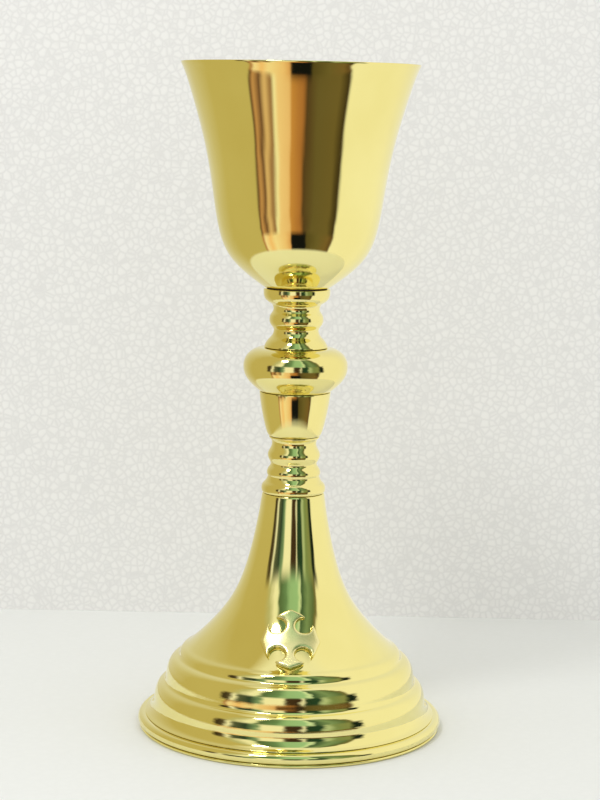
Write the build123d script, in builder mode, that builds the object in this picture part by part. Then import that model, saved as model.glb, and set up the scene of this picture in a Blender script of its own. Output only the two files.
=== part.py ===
"""An open-topped altar cup on a turned stem and a bell-shaped foot, made as a stack of brass
pieces pulled together by one threaded tie rod. Millimetres, +Z up, origin under the foot's centre."""
from build123d import *
import os

os.makedirs("parts", exist_ok=True)

# Heights of the joints between the stacked pieces
total_height = 250.0
base_ring_top = 1.2
bead_top = 5.0
foot_top = 89.9
cone_bottom = 111.5
knop_bottom = 128.3
knop_equator = 137.8
collar_bottom = 144.9
collar_top = 167.0
cup_bottom = 167.3

# Radii
base_ring_inner = 50.5
base_ring_outer = 57.2
bead_inner = 52.5
bead_outer = 57.8
foot_edge = 55.2
foot_neck = 11.7
cone_bottom_radius = 9.6
cone_top_radius = 13.5
knop_radius = 19.6
cup_seat_radius = 12.5
rim_radius = 43.9

# Thicknesses
foot_wall = 1.0
cone_wall = 1.2
knop_wall = 1.3
end_disc = 1.5
cup_wall = 1.0

# M6 tie rod and the pieces it clamps
rod_radius = 3.0
clearance_hole = 3.3
rod_bottom = 78.5
rod_top = 165.5
washer_thickness = 1.4
washer_radius = 9.5
spring_thickness = 1.3
spring_radius = 5.4
nut_height = 5.0
nut_across_flats = 10.0

# Screwed socket under the cup
boss_radius = 6.3
boss_bore = 3.05
boss_bottom = 157.3
boss_bore_top = 166.4
socket_radius = 6.6
socket_floor = 156.5
cup_washer_inner = 6.8
cup_washer_outer = 11.3

# Cross on the front of the foot
cross_half_width = 11.25
cross_half_height = 12.2
cross_thickness = 1.4
cross_radius = 30.0
cross_height = 39.6
cross_lean = 42.8
pin_radius = 0.8
pin_head_radius = 1.6
pin_offset = 6.0

trumpet = [
    (foot_neck, foot_top), (12.2, 87.0), (13.4, 79.0), (15.4, 69.5), (17.9, 60.0),
    (21.3, 51.5), (26.0, 44.2), (32.6, 36.8), (39.4, 30.6),
]
cup_side = [
    (cup_seat_radius, cup_bottom), (17.2, 171.2), (22.2, 175.3), (26.1, 180.0), (28.9, 186.0),
    (30.8, 195.0), (32.5, 207.0), (35.0, 220.6), (38.9, 234.0), (41.6, 243.0),
    (rim_radius, total_height),
]


def foot_outline(shift=0.0):
    """The foot from its neck to its edge: a trumpet, then three rolled steps and a cove."""
    Spline(*[(r + shift, z + shift) for r, z in trumpet])
    steps = [
        ((39.4, 30.6), (41.3, 29.3), (42.1, 27.2)),
        ((42.1, 27.2), (42.9, 26.5), (44.0, 26.1)),
        ((44.0, 26.1), (46.7, 22.4), (47.3, 17.6)),
        ((47.3, 17.6), (48.1, 16.9), (49.3, 16.4)),
        ((49.3, 16.4), (51.2, 13.4), (51.7, 9.6)),
        ((51.7, 9.6), (52.8, 6.9), (foot_edge, bead_top)),
    ]
    for start, middle, end in steps:
        ThreePointArc(*[(r + shift, z + shift) for r, z in (start, middle, end)])


# Flat ring the whole piece stands on
with BuildPart() as base_ring:
    with BuildSketch():
        Circle(base_ring_outer)
        Circle(base_ring_inner, mode=Mode.SUBTRACT)
    extrude(amount=base_ring_top)
    chamfer(base_ring.edges().filter_by(GeomType.CIRCLE).sort_by(SortBy.RADIUS)[-2:], 0.25)

# Half-round bead around the foot's edge
with BuildPart() as edge_bead:
    with BuildSketch(Plane.XZ):
        with BuildLine():
            Line((bead_inner, base_ring_top), (bead_outer - 0.8, base_ring_top))
            ThreePointArc(
                (bead_outer - 0.8, base_ring_top), (bead_outer, 2.9), (foot_edge + 1.0, bead_top)
            )
            Polyline(
                (foot_edge + 1.0, bead_top), (bead_inner, bead_top), (bead_inner, base_ring_top)
            )
        make_face()
    revolve(axis=Axis.Z)

# Sloping plane that touches the front of the foot under the cross
cross_plane = Plane(
    origin=(0, -cross_radius, cross_height),
    x_dir=(1, 0, 0),
    z_dir=Vector(0, -1, 0).rotate(Axis.X, -cross_lean),
)

# Foot: one spun shell, closed at the neck by a flat disc with the tie rod's hole
with BuildPart() as foot_shell:
    with BuildSketch(Plane.XZ):
        with BuildLine():
            foot_outline()
            foot_outline(-foot_wall)
            Line((foot_neck, foot_top), (foot_neck - foot_wall, foot_top - foot_wall))
            Line((foot_edge, bead_top), (foot_edge - foot_wall, bead_top - foot_wall))
        make_face()
        with BuildLine():
            Polyline(
                (clearance_hole, foot_top), (foot_neck, foot_top),
                (foot_neck - foot_wall, foot_top - foot_wall),
                (clearance_hole, foot_top - foot_wall), (clearance_hole, foot_top),
            )
        make_face()
        with Locations((foot_edge, bead_top)):
            Rectangle(6, 3, align=(Align.CENTER, Align.MAX), mode=Mode.SUBTRACT)
    revolve(axis=Axis.Z)
    with BuildSketch(cross_plane):
        with Locations((-pin_offset, 0), (pin_offset, 0)):
            Circle(pin_radius)
    extrude(amount=6, both=True, mode=Mode.SUBTRACT)

# Lower collar: a wide ring and two beads turned from one bar
with BuildPart() as lower_collar:
    with BuildSketch(Plane.XZ):
        with BuildLine():
            Line((clearance_hole, foot_top), (foot_neck, foot_top))
            ThreePointArc((foot_neck, foot_top), (12.1, 91.6), (11.3, 93.6))
            Line((11.3, 93.6), (10.5, 94.4))
            ThreePointArc((10.5, 94.4), (10.0, 95.3), (9.8, 96.4))
            ThreePointArc((9.8, 96.4), (10.1, 98.0), (8.9, 100.2))
            Line((8.9, 100.2), (8.8, 101.2))
            ThreePointArc((8.8, 101.2), (9.9, 104.0), (8.8, 106.8))
            Spline((8.8, 106.8), (8.4, 108.6), (8.7, 110.2), (9.5, 110.9))
            Polyline((9.5, 110.9), (cone_bottom_radius, cone_bottom), (clearance_hole, cone_bottom))
            Line((clearance_hole, cone_bottom), (clearance_hole, foot_top))
        make_face()
    revolve(axis=Axis.Z)

# Stem cone: hollow, with a floor that the tie rod passes through
with BuildPart() as stem_cone:
    with BuildSketch(Plane.XZ):
        with BuildLine():
            Line((clearance_hole, cone_bottom), (cone_bottom_radius, cone_bottom))
            Spline(
                (cone_bottom_radius, cone_bottom), (10.45, 112.9), (11.8, 118.0), (12.8, 123.0),
                (cone_top_radius, knop_bottom),
            )
            Polyline(
                (cone_top_radius, knop_bottom), (cone_top_radius - cone_wall, knop_bottom),
                (9.6, cone_bottom + end_disc), (clearance_hole, cone_bottom + end_disc),
                (clearance_hole, cone_bottom),
            )
        make_face()
    revolve(axis=Axis.Z)

# Lower half of the knop: a bowl with a floor
with BuildPart() as knop_lower:
    with BuildSketch(Plane.XZ):
        with BuildLine():
            Line((clearance_hole, knop_bottom), (cone_top_radius, knop_bottom))
            Spline(
                (cone_top_radius, knop_bottom), (16.4, 131.0), (18.5, 133.5),
                (knop_radius, knop_equator), tangents=[(1.0, 0.85), (0.0, 1.0)],
            )
            Line((knop_radius, knop_equator), (knop_radius - knop_wall, knop_equator))
            Spline(
                (knop_radius - knop_wall, knop_equator), (17.1, 133.8), (15.0, 131.4),
                (12.6, knop_bottom + end_disc), tangents=[(0.0, -1.0), (-1.0, -0.75)],
            )
            Polyline(
                (12.6, knop_bottom + end_disc), (clearance_hole, knop_bottom + end_disc),
                (clearance_hole, knop_bottom),
            )
        make_face()
    revolve(axis=Axis.Z)

# Upper half of the knop: the same wall closed by a flat shoulder
with BuildPart() as knop_upper:
    with BuildSketch(Plane.XZ):
        with BuildLine():
            Spline(
                (knop_radius, knop_equator), (19.2, 140.0), (17.9, 142.2),
                (15.6, collar_bottom - 0.5), tangents=[(0.0, 1.0), (-1.0, 0.55)],
            )
            ThreePointArc((15.6, collar_bottom - 0.5), (14.3, collar_bottom - 0.1), (12.8, collar_bottom))
            Polyline(
                (12.8, collar_bottom), (clearance_hole, collar_bottom),
                (clearance_hole, collar_bottom - end_disc), (14.0, collar_bottom - end_disc),
            )
            Spline(
                (14.0, collar_bottom - end_disc), (16.6, 141.7), (17.9, 139.9),
                (knop_radius - knop_wall, knop_equator), tangents=[(1.0, -0.5), (0.0, -1.0)],
            )
            Line((knop_radius - knop_wall, knop_equator), (knop_radius, knop_equator))
        make_face()
    revolve(axis=Axis.Z)

# Upper collar: flares at both ends, screwed on the tie rod, with the cup's socket bored from above
with BuildPart() as upper_collar:
    with BuildSketch(Plane.XZ):
        with BuildLine():
            Line((rod_radius, collar_bottom), (11.9, collar_bottom))
            Spline((11.9, collar_bottom), (11.2, 147.0), (9.4, 148.9), (8.5, 151.3))
            ThreePointArc((8.5, 151.3), (8.7, 152.2), (9.3, 153.0))
            ThreePointArc((9.3, 153.0), (10.15, 155.4), (9.3, 157.8))
            Line((9.3, 157.8), (8.7, 158.6))
            Spline((8.7, 158.6), (8.9, 160.4), (10.5, 161.8), (12.1, 163.4), (12.5, 165.5))
            Polyline(
                (12.5, 165.5), (12.45, collar_top), (socket_radius, collar_top),
                (socket_radius, socket_floor), (rod_radius, socket_floor), (rod_radius, collar_bottom),
            )
        make_face()
    revolve(axis=Axis.Z)

# Threaded tie rod, drawn as a plain cylinder
with BuildPart(Plane.XY.offset(rod_bottom)) as tie_rod:
    Cylinder(rod_radius, rod_top - rod_bottom, align=(Align.CENTER, Align.CENTER, Align.MIN))
    chamfer(tie_rod.edges().filter_by(GeomType.CIRCLE), 0.6)

# Broad washer up inside the neck of the foot
washer_top = foot_top - foot_wall
with BuildPart() as neck_washer:
    with BuildSketch(Plane.XY.offset(washer_top - washer_thickness)):
        Circle(washer_radius)
        Circle(clearance_hole, mode=Mode.SUBTRACT)
    extrude(amount=washer_thickness)

# Split spring washer under it
spring_top = washer_top - washer_thickness
with BuildPart() as spring_washer:
    with BuildSketch(Plane.XY.offset(spring_top - spring_thickness)):
        Circle(spring_radius)
        Circle(clearance_hole, mode=Mode.SUBTRACT)
        with Locations((spring_radius - 1, 0)):
            Rectangle(4, 0.8, rotation=20, mode=Mode.SUBTRACT)
    extrude(amount=spring_thickness)

# Hexagon nut that pulls the whole stack together
nut_top = spring_top - spring_thickness
with BuildPart() as tie_nut:
    with BuildSketch(Plane.XY.offset(nut_top - nut_height)):
        RegularPolygon(nut_across_flats / 2, 6, major_radius=False)
        Circle(rod_radius, mode=Mode.SUBTRACT)
    extrude(amount=nut_height)

# Layer lying on the foot, as thick as the cross
with BuildPart() as cross_layer:
    with BuildSketch(Plane.XZ):
        with BuildLine():
            foot_outline()
            foot_outline(cross_thickness)
            Line((foot_neck, foot_top), (foot_neck + cross_thickness, foot_top + cross_thickness))
            Line((foot_edge, bead_top), (foot_edge + cross_thickness, bead_top + cross_thickness))
        make_face()
    revolve(axis=Axis.Z)

# Cross with three-lobed arms, cast and bent to lie on the foot
with BuildPart() as cross:
    with BuildSketch(cross_plane):
        with BuildLine():
            Spline((0, cross_half_height), (1.5, 11.5), (3.9, 10.5), (5.7, 8.95))
            ThreePointArc((5.7, 8.95), (2.92, 3.52), (7.75, 7.05))
            Spline((7.75, 7.05), (9.2, 5.2), (10.3, 2.2), (cross_half_width, 0))
            Polyline((cross_half_width, 0), (0, 0), (0, cross_half_height))
        make_face()
        mirror(about=Plane.YZ)
        mirror(about=Plane.XZ)
    extrude(amount=6, both=True)
    add(cross_layer.part, mode=Mode.INTERSECT)

# Two pins through the foot's wall, soldered to the back of the cross and headed inside
pins = []
for side in (-1, 1):
    with BuildPart() as pin:
        with BuildSketch(cross_plane.offset(-3.2)):
            with Locations((side * pin_offset, 0)):
                Circle(pin_radius)
        extrude(amount=3.2)
        with BuildSketch(cross_plane.offset(-3.2)):
            with Locations((side * pin_offset, 0)):
                Circle(pin_head_radius)
        extrude(amount=1.7)
        add(foot_shell.part, mode=Mode.SUBTRACT)
        add(cross_layer.part, mode=Mode.SUBTRACT)
    pins.append(pin)

# Thin fibre washer that the cup beds on
with BuildPart() as cup_washer:
    with BuildSketch(Plane.XY.offset(collar_top)):
        Circle(cup_washer_outer)
        Circle(cup_washer_inner, mode=Mode.SUBTRACT)
    extrude(amount=cup_bottom - collar_top)

# Cup: spun bowl with a rounded lip
with BuildPart() as cup_bowl:
    with BuildSketch(Plane.XZ):
        with BuildLine():
            Spline(*cup_side)
            Spline(*[(r - cup_wall, z + cup_wall) for r, z in cup_side])
            Line((rim_radius, total_height), (rim_radius - cup_wall, total_height + cup_wall))
            Polyline(
                (cup_seat_radius, cup_bottom), (0, cup_bottom), (0, cup_bottom + cup_wall),
                (cup_seat_radius - cup_wall, cup_bottom + cup_wall),
            )
        make_face()
        with Locations((rim_radius, total_height)):
            Rectangle(6, 3, align=(Align.CENTER, Align.MIN), mode=Mode.SUBTRACT)
    revolve(axis=Axis.Z)
    fillet(cup_bowl.edges().group_by(Axis.Z)[-1], cup_wall * 0.4)

# Threaded boss soldered under the cup: it screws on the top of the tie rod
with BuildPart(Plane.XY.offset(boss_bottom)) as cup_boss:
    Cylinder(boss_radius, cup_bottom - boss_bottom, align=(Align.CENTER, Align.CENTER, Align.MIN))
    Cylinder(
        boss_bore, boss_bore_top - boss_bottom,
        align=(Align.CENTER, Align.CENTER, Align.MIN), mode=Mode.SUBTRACT,
    )

pieces = {
    "base_ring": base_ring, "edge_bead": edge_bead, "foot_shell": foot_shell,
    "lower_collar": lower_collar, "stem_cone": stem_cone, "knop_lower": knop_lower,
    "knop_upper": knop_upper, "upper_collar": upper_collar, "tie_rod": tie_rod,
    "neck_washer": neck_washer, "spring_washer": spring_washer, "tie_nut": tie_nut,
    "cross": cross, "cross_pin_left": pins[0], "cross_pin_right": pins[1],
    "cup_washer": cup_washer, "cup_bowl": cup_bowl, "cup_boss": cup_boss,
}
for name, piece in pieces.items():
    piece.part.label = name
    export_step(piece.part, f"parts/{name}.step")
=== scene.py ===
import bpy
from math import cos, hypot, pi, radians, sin
from mathutils import Matrix, Vector


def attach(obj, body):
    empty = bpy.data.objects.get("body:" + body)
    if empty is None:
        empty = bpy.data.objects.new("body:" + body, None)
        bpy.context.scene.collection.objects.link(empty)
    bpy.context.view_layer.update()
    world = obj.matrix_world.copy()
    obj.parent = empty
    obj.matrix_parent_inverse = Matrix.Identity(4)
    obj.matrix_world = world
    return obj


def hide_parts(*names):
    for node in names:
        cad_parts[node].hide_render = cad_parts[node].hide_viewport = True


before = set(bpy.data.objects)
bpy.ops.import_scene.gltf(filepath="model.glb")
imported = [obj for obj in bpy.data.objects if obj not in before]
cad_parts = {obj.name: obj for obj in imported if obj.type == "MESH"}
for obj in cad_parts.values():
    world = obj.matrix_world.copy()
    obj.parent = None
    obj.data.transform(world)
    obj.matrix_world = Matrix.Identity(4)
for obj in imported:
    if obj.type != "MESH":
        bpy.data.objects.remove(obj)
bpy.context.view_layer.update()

MM = 0.001
WELD = 0.000004
FOOT = "stem_and_foot"
CUP = "cup"


# ---------------------------------------------------------------- finishes

def new_finish(name):
    finish = bpy.data.materials.new(name)
    finish.use_nodes = True
    nodes = finish.node_tree.nodes
    return finish, nodes, finish.node_tree.links, nodes["Principled BSDF"]


def add_noise(nodes, scale, detail):
    noise = nodes.new("ShaderNodeTexNoise")
    noise.inputs["Scale"].default_value = scale
    noise.inputs["Detail"].default_value = detail
    return noise


def add_tint(nodes, deep, light, start=0.0, end=1.0):
    tint = nodes.new("ShaderNodeValToRGB")
    for stop, place, colour in zip(tint.color_ramp.elements, (start, end), (deep, light)):
        stop.position = place
        stop.color = (*colour, 1)
    return tint


def add_range(nodes, **limits):
    """A Map Range node, with its limits given as from_min, from_max, to_min and to_max."""
    span = nodes.new("ShaderNodeMapRange")
    for limit, value in limits.items():
        span.inputs[limit.replace("_", " ").title()].default_value = value
    return span


def add_bump(nodes, strength, depth):
    bump = nodes.new("ShaderNodeBump")
    bump.inputs["Strength"].default_value = strength
    bump.inputs["Distance"].default_value = depth
    return bump


def polished_gold(name, light, deep, rough, ring_pitch):
    """Buffed gold plate: slow changes of tint, a soft haze left by the buffing wheel and faint
    turning rings."""
    finish, nodes, links, shader = new_finish(name)
    where = nodes.new("ShaderNodeTexCoord").outputs["Object"]
    tint_noise = add_noise(nodes, 28.0, 3.0)
    tint = add_tint(nodes, deep, light, 0.35, 0.68)
    links.new(where, tint_noise.inputs["Vector"])
    links.new(tint_noise.outputs["Fac"], tint.inputs["Fac"])
    links.new(tint.outputs["Color"], shader.inputs["Base Color"])

    haze_noise = add_noise(nodes, 90.0, 5.0)
    haze = add_range(nodes, from_min=0.35, from_max=0.75, to_min=rough, to_max=rough * 1.7)
    links.new(where, haze_noise.inputs["Vector"])
    links.new(haze_noise.outputs["Fac"], haze.inputs["Value"])
    links.new(haze.outputs["Result"], shader.inputs["Roughness"])

    rings = nodes.new("ShaderNodeTexWave")
    rings.wave_type = "BANDS"
    rings.bands_direction = "Z"
    rings.inputs["Scale"].default_value = 1.0 / ring_pitch
    rings.inputs["Distortion"].default_value = 0.6
    rings.inputs["Detail"].default_value = 2.0
    dents = add_noise(nodes, 45.0, 1.0)
    ring_bump = add_bump(nodes, 0.02, 0.0001)
    dent_bump = add_bump(nodes, 0.35, 0.0002)
    links.new(where, rings.inputs["Vector"])
    links.new(where, dents.inputs["Vector"])
    links.new(rings.outputs["Fac"], ring_bump.inputs["Height"])
    links.new(dents.outputs["Fac"], dent_bump.inputs["Height"])
    links.new(ring_bump.outputs["Normal"], dent_bump.inputs["Normal"])
    links.new(dent_bump.outputs["Normal"], shader.inputs["Normal"])
    shader.inputs["Metallic"].default_value = 1.0
    return finish


def hidden_metal(name, light, deep, rough, grain):
    """Plain metal inside: close streaks round the piece and darker patches."""
    finish, nodes, links, shader = new_finish(name)
    where = nodes.new("ShaderNodeTexCoord").outputs["Object"]
    stretch = nodes.new("ShaderNodeMapping")
    stretch.inputs["Scale"].default_value = (grain * 0.2, grain * 0.2, grain)
    streaks = add_noise(nodes, 1.0, 6.0)
    tint = add_tint(nodes, deep, light)
    haze = add_range(nodes, to_min=rough * 0.8, to_max=rough * 1.4)
    bump = add_bump(nodes, 0.2, 0.0001)
    links.new(where, stretch.inputs["Vector"])
    links.new(stretch.outputs["Vector"], streaks.inputs["Vector"])
    links.new(streaks.outputs["Fac"], tint.inputs["Fac"])
    links.new(tint.outputs["Color"], shader.inputs["Base Color"])
    links.new(streaks.outputs["Fac"], haze.inputs["Value"])
    links.new(haze.outputs["Result"], shader.inputs["Roughness"])
    links.new(streaks.outputs["Fac"], bump.inputs["Height"])
    links.new(bump.outputs["Normal"], shader.inputs["Normal"])
    shader.inputs["Metallic"].default_value = 1.0
    return finish


# The washer's near-black colour is partly its dark fibre and partly painted shade: it paints the
# dark line of shade at the seam between cup and collar.
def washer_fibre_and_seam_shade(name):
    finish, nodes, links, shader = new_finish(name)
    where = nodes.new("ShaderNodeTexCoord").outputs["Object"]
    fibres = add_noise(nodes, 900.0, 4.0)
    tint = add_tint(nodes, (0.035, 0.022, 0.010), (0.09, 0.06, 0.03))
    bump = add_bump(nodes, 0.4, 0.0001)
    links.new(where, fibres.inputs["Vector"])
    links.new(fibres.outputs["Fac"], tint.inputs["Fac"])
    links.new(tint.outputs["Color"], shader.inputs["Base Color"])
    links.new(fibres.outputs["Fac"], bump.inputs["Height"])
    links.new(bump.outputs["Normal"], shader.inputs["Normal"])
    shader.inputs["Roughness"].default_value = 0.8
    return finish


gold = polished_gold("buffed_gold_plate", (0.91, 0.83, 0.37), (0.87, 0.78, 0.32), 0.04, 0.0011)
gold_stem = polished_gold(
    "buffed_gold_plate_stem", (0.91, 0.82, 0.36), (0.86, 0.76, 0.30), 0.05, 0.0007)
gold_cross = polished_gold("cast_gold_plate", (0.93, 0.86, 0.46), (0.86, 0.78, 0.38), 0.17, 0.0009)
bare_brass = hidden_metal("turned_brass", (0.80, 0.62, 0.30), (0.55, 0.40, 0.17), 0.28, 900)
zinc_steel = hidden_metal("zinc_plated_steel", (0.68, 0.68, 0.66), (0.42, 0.43, 0.43), 0.34, 700)
fibre_and_seam_shade = washer_fibre_and_seam_shade("dark_fibre")


# ---------------------------------------------------------------- turned pieces

def with_tight_corners(outline):
    """Each point is (radius, height) or (radius, height, reach): one with a reach becomes two
    points that far along its two neighbouring runs, so that the smoothed edge stays tight there."""
    points = []
    for i, point in enumerate(outline):
        if len(point) == 2:
            points.append(point)
            continue
        r, z, reach = point
        for other in (outline[i - 1], outline[(i + 1) % len(outline)]):
            length = hypot(other[0] - r, other[1] - z)
            share = min(reach / length, 0.45)
            points.append((r + (other[0] - r) * share, z + (other[1] - z) * share))
    return points


def turn(name, outline, body, nodes, finish, turns=64, closed=True):
    """Draws the outline of the wall in millimetres, extruding point by point, and spins it about
    the centre."""
    points = with_tight_corners(outline)
    if closed:
        points = points + points[:1]
    bpy.ops.object.select_all(action="DESELECT")
    start = (points[0][0] * MM, 0, points[0][1] * MM)
    bpy.ops.mesh.primitive_plane_add(size=0.0005, location=start)
    piece = bpy.context.object
    piece.name = name
    bpy.ops.object.transform_apply(location=True, rotation=True, scale=True)
    bpy.ops.object.mode_set(mode="EDIT")
    bpy.ops.mesh.select_all(action="SELECT")
    bpy.ops.mesh.merge(type="CENTER")
    for (r0, z0), (r1, z1) in zip(points, points[1:]):
        bpy.ops.mesh.extrude_region_move(
            TRANSFORM_OT_translate={"value": ((r1 - r0) * MM, 0, (z1 - z0) * MM)})
    bpy.ops.mesh.select_all(action="SELECT")
    bpy.ops.mesh.spin(steps=turns, angle=2 * pi, center=(0, 0, 0), axis=(0, 0, 1))
    bpy.ops.mesh.select_all(action="SELECT")
    bpy.ops.mesh.remove_doubles(threshold=WELD)
    bpy.ops.mesh.normals_make_consistent(inside=False)
    bpy.ops.object.mode_set(mode="OBJECT")
    smooth = piece.modifiers.new("smooth", "SUBSURF")
    smooth.levels = smooth.render_levels = 2
    bpy.ops.object.modifier_apply(modifier="smooth")
    bpy.ops.object.shade_smooth()
    piece.data.materials.append(finish)
    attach(piece, body)
    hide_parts(*nodes)
    return piece


turn("cup", [
    (0.0, 167.3), (6.0, 167.3), (12.2, 167.3, 0.25), (17.3, 170.9), (22.3, 175.0), (26.3, 179.7),
    (29.05, 186.0), (30.9, 195.0), (32.5, 207.0), (35.0, 220.6), (38.8, 234.0), (41.6, 243.0),
    (43.1, 247.2), (44.2, 249.3), (44.25, 250.0), (43.6, 250.05), (43.0, 249.4), (42.0, 247.3),
    (40.6, 243.3), (37.8, 234.4), (34.0, 221.1), (31.5, 207.4), (29.9, 195.5), (28.0, 186.9),
    (25.3, 180.8), (21.4, 176.0), (16.5, 171.9), (11.6, 168.5), (6.0, 168.3), (0.0, 168.3)],
    CUP, ["cup_bowl"], gold, turns=72, closed=False)

turn("upper_collar_turned", [
    (6.6, 167.0, 0.2), (12.5, 167.0, 0.15), (12.55, 165.6), (12.45, 164.3), (11.9, 162.9),
    (10.6, 161.8), (9.2, 161.1), (8.7, 159.9), (8.7, 158.7), (9.25, 157.95, 0.15), (10.0, 156.9),
    (10.25, 155.4), (10.0, 153.9), (9.2, 152.8), (8.55, 152.0), (8.4, 151.2), (8.65, 150.1),
    (9.3, 149.0), (10.5, 147.9), (11.4, 146.6), (11.95, 145.4), (11.9, 144.95, 0.1),
    (3.06, 144.95, 0.2), (3.06, 156.5, 0.2), (6.6, 156.5, 0.2)],
    FOOT, ["upper_collar"], gold_stem)

turn("knop", [
    (3.4, 128.34, 0.2), (13.2, 128.34, 0.15), (14.6, 129.4), (16.4, 130.95), (18.35, 133.1),
    (19.45, 135.4), (19.7, 137.8), (19.5, 139.8), (18.6, 141.7), (17.3, 143.1), (15.7, 144.1),
    (14.0, 144.75), (12.6, 144.88), (3.4, 144.88, 0.2), (3.4, 143.5, 0.2), (13.5, 143.4),
    (16.3, 141.8), (18.0, 139.6), (18.3, 137.8), (17.9, 135.6), (16.5, 133.2), (14.5, 131.1),
    (12.6, 129.9), (3.4, 129.85, 0.2)],
    FOOT, ["knop_lower", "knop_upper"], gold_stem)

turn("stem_cone_spun", [
    (3.4, 111.52, 0.2), (9.55, 111.52, 0.12), (10.1, 112.1), (10.5, 113.0), (11.1, 115.0),
    (11.8, 118.0), (12.45, 121.0), (13.0, 124.4), (13.5, 128.28, 0.12), (12.4, 128.28, 0.12),
    (12.0, 124.0), (11.0, 118.5), (9.6, 113.5), (8.8, 113.0, 0.2), (3.4, 113.0, 0.2)],
    FOOT, ["stem_cone"], gold_stem)

turn("lower_collar_turned", [
    (3.4, 89.95, 0.2), (11.55, 89.95, 0.12), (12.0, 90.4), (12.2, 91.7), (11.95, 92.9),
    (11.3, 93.7), (10.6, 94.3), (10.05, 95.3), (9.75, 96.3, 0.15), (10.1, 97.0), (10.2, 98.0),
    (9.7, 99.3), (8.9, 100.2), (8.7, 100.9), (8.9, 101.6), (9.45, 102.5), (10.0, 103.9),
    (9.8, 105.4), (9.0, 106.6), (8.45, 107.8), (8.35, 109.0), (8.7, 110.1), (9.45, 110.8, 0.1),
    (9.55, 111.46, 0.1), (3.4, 111.46, 0.2)],
    FOOT, ["lower_collar"], gold_stem)

turn("foot", [
    (3.35, 89.88, 0.2), (11.5, 89.88, 0.12), (11.85, 89.3), (12.1, 87.5), (12.7, 83.0),
    (13.6, 78.0), (15.3, 69.5), (17.8, 60.0), (21.3, 51.2), (26.1, 43.9), (32.6, 36.6),
    (38.7, 31.0), (39.7, 30.45), (41.1, 29.75), (42.0, 28.5), (42.2, 27.4), (42.45, 26.85),
    (43.0, 26.5), (44.1, 26.2), (45.5, 25.3), (46.75, 23.0), (47.25, 20.3), (47.4, 18.2),
    (47.65, 17.25), (48.3, 16.85), (49.35, 16.45), (50.5, 15.5), (51.35, 13.4), (51.7, 11.2),
    (51.75, 9.7), (52.0, 8.4), (52.6, 7.1), (53.6, 6.0), (55.0, 5.35, 0.1), (55.0, 5.02, 0.1),
    (53.4, 5.02, 0.1), (51.8, 6.2), (51.0, 7.8), (50.7, 9.2), (50.5, 11.0), (50.1, 13.0),
    (49.4, 14.5), (48.3, 15.4), (47.1, 15.9), (46.5, 16.8), (46.3, 18.0), (46.1, 20.0),
    (45.5, 22.3), (44.4, 24.2), (43.1, 25.1), (42.0, 25.5), (41.2, 26.3), (40.9, 27.5),
    (39.9, 28.7), (38.5, 29.4), (37.8, 30.0), (31.7, 35.6), (25.2, 42.9), (20.4, 50.2),
    (16.9, 59.0), (14.4, 68.5), (12.6, 77.0), (11.7, 82.0), (11.1, 86.5), (10.9, 88.9, 0.3),
    (3.35, 88.9, 0.2)],
    FOOT, ["foot_shell"], gold, turns=72)

turn("edge_bead_rolled", [
    (52.5, 1.24, 0.2), (56.7, 1.24, 0.1), (57.5, 1.7), (57.85, 2.9), (57.6, 4.0), (56.8, 4.8),
    (56.1, 5.0), (55.3, 4.98, 0.1), (52.5, 4.98, 0.2)],
    FOOT, ["edge_bead"], gold, turns=96)

turn("base_ring_rolled", [
    (50.5, 0.0, 0.2), (57.0, 0.0, 0.15), (57.2, 0.35), (57.2, 0.85), (56.9, 1.18, 0.15),
    (50.5, 1.18, 0.2)],
    FOOT, ["base_ring"], gold, turns=96)


# ---------------------------------------------------------------- cross

def cast_cross():
    """The cross, with its edges melted round as a polished casting has them."""
    bpy.ops.object.select_all(action="DESELECT")
    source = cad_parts["cross"]
    piece = bpy.data.objects.new("cross_cast", source.data.copy())
    bpy.context.scene.collection.objects.link(piece)
    bpy.context.view_layer.objects.active = piece
    piece.select_set(True)
    bpy.ops.object.mode_set(mode="EDIT")
    bpy.ops.mesh.select_all(action="SELECT")
    bpy.ops.mesh.remove_doubles(threshold=WELD / 2)
    bpy.ops.mesh.normals_make_consistent(inside=False)
    bpy.ops.object.mode_set(mode="OBJECT")
    even = piece.modifiers.new("even", "REMESH")
    even.mode = "VOXEL"
    even.voxel_size = 0.00016
    bpy.ops.object.modifier_apply(modifier="even")
    melt = piece.modifiers.new("melt", "SMOOTH")
    melt.factor = 0.7
    melt.iterations = 130
    bpy.ops.object.modifier_apply(modifier="melt")
    bpy.ops.object.shade_smooth()
    piece.data.materials.clear()
    piece.data.materials.append(gold_cross)
    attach(piece, FOOT)
    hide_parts("cross")


cast_cross()

for node, finish in [
        ("tie_rod", zinc_steel), ("neck_washer", zinc_steel), ("spring_washer", zinc_steel),
        ("tie_nut", zinc_steel), ("cross_pin_left", bare_brass), ("cross_pin_right", bare_brass),
        ("cup_boss", bare_brass), ("cup_washer", fibre_and_seam_shade)]:
    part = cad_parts[node]
    if part.material_slots:
        for place in part.material_slots:
            place.material = finish
    else:
        part.data.materials.append(finish)


# ---------------------------------------------------------------- painted reflections for the gold to mirror

# The two side colours are painted light and shade: the darker olive one paints the tent's shaded
# left side as the gold mirrors it, with painted reflection of gold in gold, and the pale one paints
# its lit right side.
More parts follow.
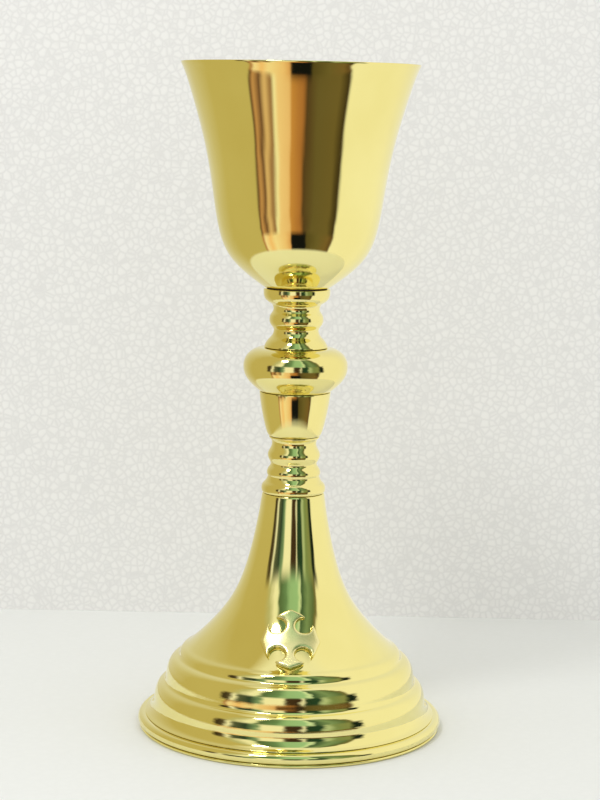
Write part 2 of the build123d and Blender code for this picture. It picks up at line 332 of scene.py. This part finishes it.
SHADED_SIDE_REFLECTION, LIT_SIDE_REFLECTION = (0.58, 0.50, 0.24), (1.0, 0.98, 0.87)
# Painted reflections: colour bands that stand in for the room and people in front as the gold
# mirrors them, each stop a bearing in degrees and a colour. The white stops are painted highlights.
PAINTED_REFLECTION_NEAR = [
    (-180, (0.80, 0.80, 0.76)), (-110, SHADED_SIDE_REFLECTION), (-57, SHADED_SIDE_REFLECTION), (-54, (0.45, 0.18, 0.08)),
    (-51, (1.0, 0.85, 0.66)), (-42, (0.98, 0.62, 0.36)), (-34, (1.0, 0.84, 0.62)),
    (-20, (0.95, 0.66, 0.42)), (-13, (0.80, 0.44, 0.24)), (-11, (0.008, 0.009, 0.011)),
    (11, (0.008, 0.009, 0.011)), (13, (0.10, 0.08, 0.03)), (30, (0.16, 0.13, 0.05)),
    (46, (0.20, 0.13, 0.05)), (53, (0.12, 0.07, 0.03)), (56, LIT_SIDE_REFLECTION), (120, LIT_SIDE_REFLECTION),
    (180, (0.85, 0.85, 0.80))]
PAINTED_REFLECTION_FAR = [
    (-180, (0.80, 0.80, 0.76)), (-110, SHADED_SIDE_REFLECTION), (-57, SHADED_SIDE_REFLECTION), (-54, (0.10, 0.05, 0.03)),
    (-51, (0.62, 0.34, 0.18)), (-45, (0.16, 0.08, 0.05)), (-40, (0.80, 0.55, 0.35)),
    (-33, (0.30, 0.16, 0.09)), (-28, (1.0, 0.95, 0.80)), (-24, (0.95, 0.70, 0.48)),
    (-13, (0.90, 0.60, 0.38)), (-10, (0.62, 0.30, 0.10)), (2, (0.45, 0.19, 0.07)),
    (7, (0.10, 0.06, 0.03)), (20, (0.15, 0.12, 0.05)), (42, (0.17, 0.13, 0.05)),
    (52, (0.05, 0.035, 0.015)), (56, LIT_SIDE_REFLECTION), (120, LIT_SIDE_REFLECTION), (180, (0.85, 0.85, 0.80))]
PAINTED_REFLECTION_ROOM = [
    (-180, (0.80, 0.80, 0.76)), (-110, SHADED_SIDE_REFLECTION), (-66, SHADED_SIDE_REFLECTION), (-62, (0.05, 0.035, 0.02)),
    (-57, (0.10, 0.08, 0.05)), (-52, (1.0, 1.0, 1.0)), (-46, (0.10, 0.12, 0.09)),
    (-36, (0.03, 0.06, 0.05)), (-27, (0.22, 0.36, 0.28)), (-22, (1.0, 1.0, 0.98)),
    (-6, (1.0, 1.0, 0.98)), (-1, (0.06, 0.035, 0.02)), (9, (0.05, 0.03, 0.02)),
    (12, (1.0, 1.0, 1.0)), (15, (0.02, 0.05, 0.03)), (27, (0.02, 0.06, 0.04)),
    (32, (0.50, 0.62, 0.48)), (40, (0.22, 0.30, 0.16)), (52, (0.26, 0.30, 0.15)),
    (57, (0.01, 0.02, 0.015)), (62, (0.01, 0.02, 0.015)), (66, LIT_SIDE_REFLECTION), (120, LIT_SIDE_REFLECTION),
    (180, (0.85, 0.85, 0.80))]
PAINTED_REFLECTION_HIGH = [
    (-180, (0.80, 0.80, 0.76)), (-110, SHADED_SIDE_REFLECTION), (-60, SHADED_SIDE_REFLECTION), (-50, (0.55, 0.56, 0.40)),
    (-38, (1.0, 1.0, 0.98)), (-32, (0.95, 1.0, 0.93)), (-26, (0.10, 0.17, 0.10)),
    (-12, (0.16, 0.30, 0.20)), (-2, (0.34, 0.58, 0.44)), (14, (0.36, 0.62, 0.48)),
    (20, (0.70, 0.90, 0.78)), (24, (0.05, 0.11, 0.07)), (38, (0.22, 0.34, 0.22)),
    (50, (0.12, 0.18, 0.10)), (56, (0.20, 0.18, 0.08)), (60, LIT_SIDE_REFLECTION), (120, LIT_SIDE_REFLECTION),
    (180, (0.85, 0.85, 0.80))]


def bearing_round(nodes, links, place):
    """Bearing about the object from the front, wavering like folds in cloth, from 0 to 1 over the
    full turn. Returns the place's X, Y and Z as one node, and the bearing as another."""
    sway = 0.16
    parts = nodes.new("ShaderNodeSeparateXYZ")
    links.new(place, parts.inputs["Vector"])
    front = nodes.new("ShaderNodeMath")
    front.operation = "MULTIPLY"
    front.inputs[1].default_value = -1.0
    links.new(parts.outputs["Y"], front.inputs[0])
    bearing = nodes.new("ShaderNodeMath")
    bearing.operation = "ARCTAN2"
    links.new(parts.outputs["X"], bearing.inputs[0])
    links.new(front.outputs["Value"], bearing.inputs[1])
    folds = add_noise(nodes, 7.0, 2.0)
    links.new(place, folds.inputs["Vector"])
    waver = nodes.new("ShaderNodeMath")
    waver.operation = "MULTIPLY_ADD"
    waver.inputs[1].default_value = sway
    links.new(folds.outputs["Fac"], waver.inputs[0])
    links.new(bearing.outputs["Value"], waver.inputs[2])
    share = add_range(nodes, from_min=sway / 2 - pi, from_max=sway / 2 + pi)
    links.new(waver.outputs["Value"], share.inputs["Value"])
    return parts, share


def band(nodes, links, share, stops):
    """The colours met going round, each stop a bearing in degrees and a colour."""
    ramp = nodes.new("ShaderNodeValToRGB")
    elements = ramp.color_ramp.elements
    elements[0].color = (*stops[0][1], 1)
    elements[1].color = (*stops[-1][1], 1)
    for degrees, colour in stops[1:-1]:
        elements.new((degrees + 180) / 360).color = (*colour, 1)
    links.new(share.outputs["Result"], ramp.inputs["Fac"])
    return ramp.outputs["Color"]


def step_between(nodes, links, value, limits):
    """0 where the value is under the first limit and 1 where it is over the second."""
    step = add_range(nodes, from_min=limits[0], from_max=limits[1])
    links.new(value, step.inputs["Value"])
    return step.outputs["Result"]


def blend(nodes, links, share, first, second):
    """The first colour where the share is 0 and the second where it is 1."""
    mix = nodes.new("ShaderNodeMixRGB")
    links.new(share, mix.inputs["Fac"])
    links.new(first, mix.inputs["Color1"])
    links.new(second, mix.inputs["Color2"])
    return mix.outputs["Color"]


# ---------------------------------------------------------------- floor and backdrop

# Distances from the centre of the floor, in metres, over which the painted reflection that the
# floor shows the gold changes
FLOOR_TO_NEAR = (0.18, 0.195)
NEAR_TO_FAR = (0.35, 0.37)
FAR_TO_ROOM = (0.75, 0.95)

UNDER_RING = -0.0001
WALL_PLACE = (0, 0.172, 0.6)
WALL_SIZE = (3, 1.25, 1)

def pale_board(name, light, deep, bead):
    """Foam board of pressed beads, each a little darker where it meets the next."""
    finish, nodes, links, shader = new_finish(name)
    where = nodes.new("ShaderNodeTexCoord")
    cells = nodes.new("ShaderNodeTexVoronoi")
    cells.feature = "DISTANCE_TO_EDGE"
    cells.inputs["Scale"].default_value = bead
    edge = add_range(nodes, from_max=0.25)
    tint = add_tint(nodes, deep, light)
    links.new(where.outputs["Object"], cells.inputs["Vector"])
    links.new(cells.outputs["Distance"], edge.inputs["Value"])
    links.new(edge.outputs["Result"], tint.inputs["Fac"])
    links.new(tint.outputs["Color"], shader.inputs["Base Color"])
    shader.inputs["Roughness"].default_value = 0.9
    return finish, nodes, links, shader


def see_through_from_behind(nodes, links, surface):
    """Leaves the board's back clear, so that it doesn't hide the cup from a camera behind it."""
    behind = nodes.new("ShaderNodeNewGeometry")
    clear = nodes.new("ShaderNodeBsdfTransparent")
    one_sided = nodes.new("ShaderNodeMixShader")
    links.new(behind.outputs["Backfacing"], one_sided.inputs["Fac"])
    links.new(surface, one_sided.inputs[1])
    links.new(clear.outputs["BSDF"], one_sided.inputs[2])
    links.new(one_sided.outputs["Shader"], nodes["Material Output"].inputs["Surface"])


bpy.ops.object.select_all(action="DESELECT")
bpy.ops.mesh.primitive_plane_add(size=6, location=(0, 0, UNDER_RING))
floor = bpy.context.object
floor.name = "studio_floor"
floor_and_painted_reflection, nodes, links, shader = pale_board(
    "studio_floor_and_painted_reflection", (0.84, 0.85, 0.83), (0.83, 0.84, 0.82), 200)
floor.data.materials.append(floor_and_painted_reflection)
# The camera sees the floor pale all over. The gold sees it only close in: farther out the floor
# glows, for mirrored rays only, with painted reflections of the room in front and of the tent's two
# sides.
where = nodes.new("ShaderNodeTexCoord").outputs["Object"]
share = bearing_round(nodes, links, where)[1]
reach = nodes.new("ShaderNodeVectorMath")
reach.operation = "LENGTH"
links.new(where, reach.inputs[0])
painted_near_reflection, painted_far_reflection, painted_room_reflection = (
    band(nodes, links, share, stops) for stops in (PAINTED_REFLECTION_NEAR, PAINTED_REFLECTION_FAR, PAINTED_REFLECTION_ROOM))
past_near, past_far, past_edge = (
    step_between(nodes, links, reach.outputs["Value"], limits)
    for limits in (NEAR_TO_FAR, FAR_TO_ROOM, FLOOR_TO_NEAR))
painted_near_and_far_reflection = blend(nodes, links, past_near, painted_near_reflection, painted_far_reflection)
# Painted reflection: the floor glows with these bands, and only mirrored rays see the glow.
painted_reflection_glow = nodes.new("ShaderNodeEmission")
links.new(blend(nodes, links, past_far, painted_near_and_far_reflection, painted_room_reflection), painted_reflection_glow.inputs["Color"])
path = nodes.new("ShaderNodeLightPath")
shows_painted_reflection = nodes.new("ShaderNodeMath")
shows_painted_reflection.operation = "MULTIPLY"
links.new(path.outputs["Is Glossy Ray"], shows_painted_reflection.inputs[0])
links.new(past_edge, shows_painted_reflection.inputs[1])
either = nodes.new("ShaderNodeMixShader")
links.new(shows_painted_reflection.outputs["Value"], either.inputs["Fac"])
links.new(shader.outputs["BSDF"], either.inputs[1])
links.new(painted_reflection_glow.outputs["Emission"], either.inputs[2])
see_through_from_behind(nodes, links, either.outputs["Shader"])

bpy.ops.mesh.primitive_plane_add(size=1, location=WALL_PLACE, rotation=(radians(90), 0, 0))
wall = bpy.context.object
wall.name = "studio_backdrop"
wall.scale = WALL_SIZE
bpy.ops.object.transform_apply(location=True, rotation=True, scale=True)
board, nodes, links, shader = pale_board(
    "bead_board", (0.87, 0.865, 0.85), (0.78, 0.775, 0.765), 330)
see_through_from_behind(nodes, links, shader.outputs["BSDF"])
wall.data.materials.append(board)
wall.visible_glossy = False


# ---------------------------------------------------------------- light tent, open at the front

# Heights on the tent, as the sine of the angle over level, over which its bands change
LOW_TO_ROOM = (-0.22, -0.12)
ROOM_TO_HIGH = (0.30, 0.42)
HIGH_TO_ROOF = (0.92, 0.97)

# Mirrored rays see the bands, which are painted reflections of the room in front and of the tent's
# shaded and lit sides. To every other ray the tent is one pale colour.
world = bpy.data.worlds.new("light_tent")
bpy.context.scene.world = world
world.use_nodes = True
nodes, links = world.node_tree.nodes, world.node_tree.links
nodes.clear()
where = nodes.new("ShaderNodeTexCoord").outputs["Generated"]
parts, share = bearing_round(nodes, links, where)
painted_low_reflection, painted_room_reflection, painted_high_reflection = (
    band(nodes, links, share, stops) for stops in (PAINTED_REFLECTION_FAR, PAINTED_REFLECTION_ROOM, PAINTED_REFLECTION_HIGH))
over_low, over_room, over_high = (
    step_between(nodes, links, parts.outputs["Z"], limits)
    for limits in (LOW_TO_ROOM, ROOM_TO_HIGH, HIGH_TO_ROOF))
painted_upper_reflection = blend(nodes, links, over_room, painted_room_reflection, painted_high_reflection)
painted_wall_reflection = blend(nodes, links, over_low, painted_low_reflection, painted_upper_reflection)
painted_reflection_colour = nodes.new("ShaderNodeMixRGB")
painted_reflection_colour.inputs["Color2"].default_value = (0.95, 0.95, 0.90, 1)
links.new(over_high, painted_reflection_colour.inputs["Fac"])
links.new(painted_wall_reflection, painted_reflection_colour.inputs["Color1"])
painted_reflection_world = nodes.new("ShaderNodeBackground")
links.new(painted_reflection_colour.outputs["Color"], painted_reflection_world.inputs["Color"])
plain = nodes.new("ShaderNodeBackground")
plain.inputs["Color"].default_value = (0.97, 0.97, 0.95, 1)
path = nodes.new("ShaderNodeLightPath")
not_mirrored = nodes.new("ShaderNodeMixShader")
out = nodes.new("ShaderNodeOutputWorld")
links.new(path.outputs["Is Glossy Ray"], not_mirrored.inputs["Fac"])
links.new(plain.outputs["Background"], not_mirrored.inputs[1])
links.new(painted_reflection_world.outputs["Background"], not_mirrored.inputs[2])
links.new(not_mirrored.outputs["Shader"], out.inputs["Surface"])

KEY_PLACE = (-0.27, -0.38, 0.88)
KEY_AIM = Vector((0.27, 0.38, -0.82))
bpy.ops.object.light_add(type="AREA", location=KEY_PLACE)
key = bpy.context.object
key.name = "soft_key"
key.data.shape = "DISK"
key.data.size = 0.16
key.data.energy = 1.6
key.rotation_euler = KEY_AIM.to_track_quat("-Z", "Y").to_euler()


# ---------------------------------------------------------------- camera

CAMERA_PLACE = Vector((0.0019, -0.781, 0.235))
pitch, roll = radians(8.02), radians(1.10)
ahead = Vector((0, cos(pitch), -sin(pitch)))
level = Vector((1, 0, 0))
upright = level.cross(ahead)
right = level * cos(roll) + upright * sin(roll)
above = right.cross(ahead)
camera_data = bpy.data.cameras.new("camera")
camera_data.lens = 94.5
camera_data.sensor_width = 36
camera = bpy.data.objects.new("camera", camera_data)
bpy.context.scene.collection.objects.link(camera)
turned = Matrix((right, above, -ahead)).transposed().to_4x4()
turned.translation = CAMERA_PLACE
camera.matrix_world = turned
bpy.context.scene.camera = camera
bpy.context.scene.view_settings.view_transform = "Standard"
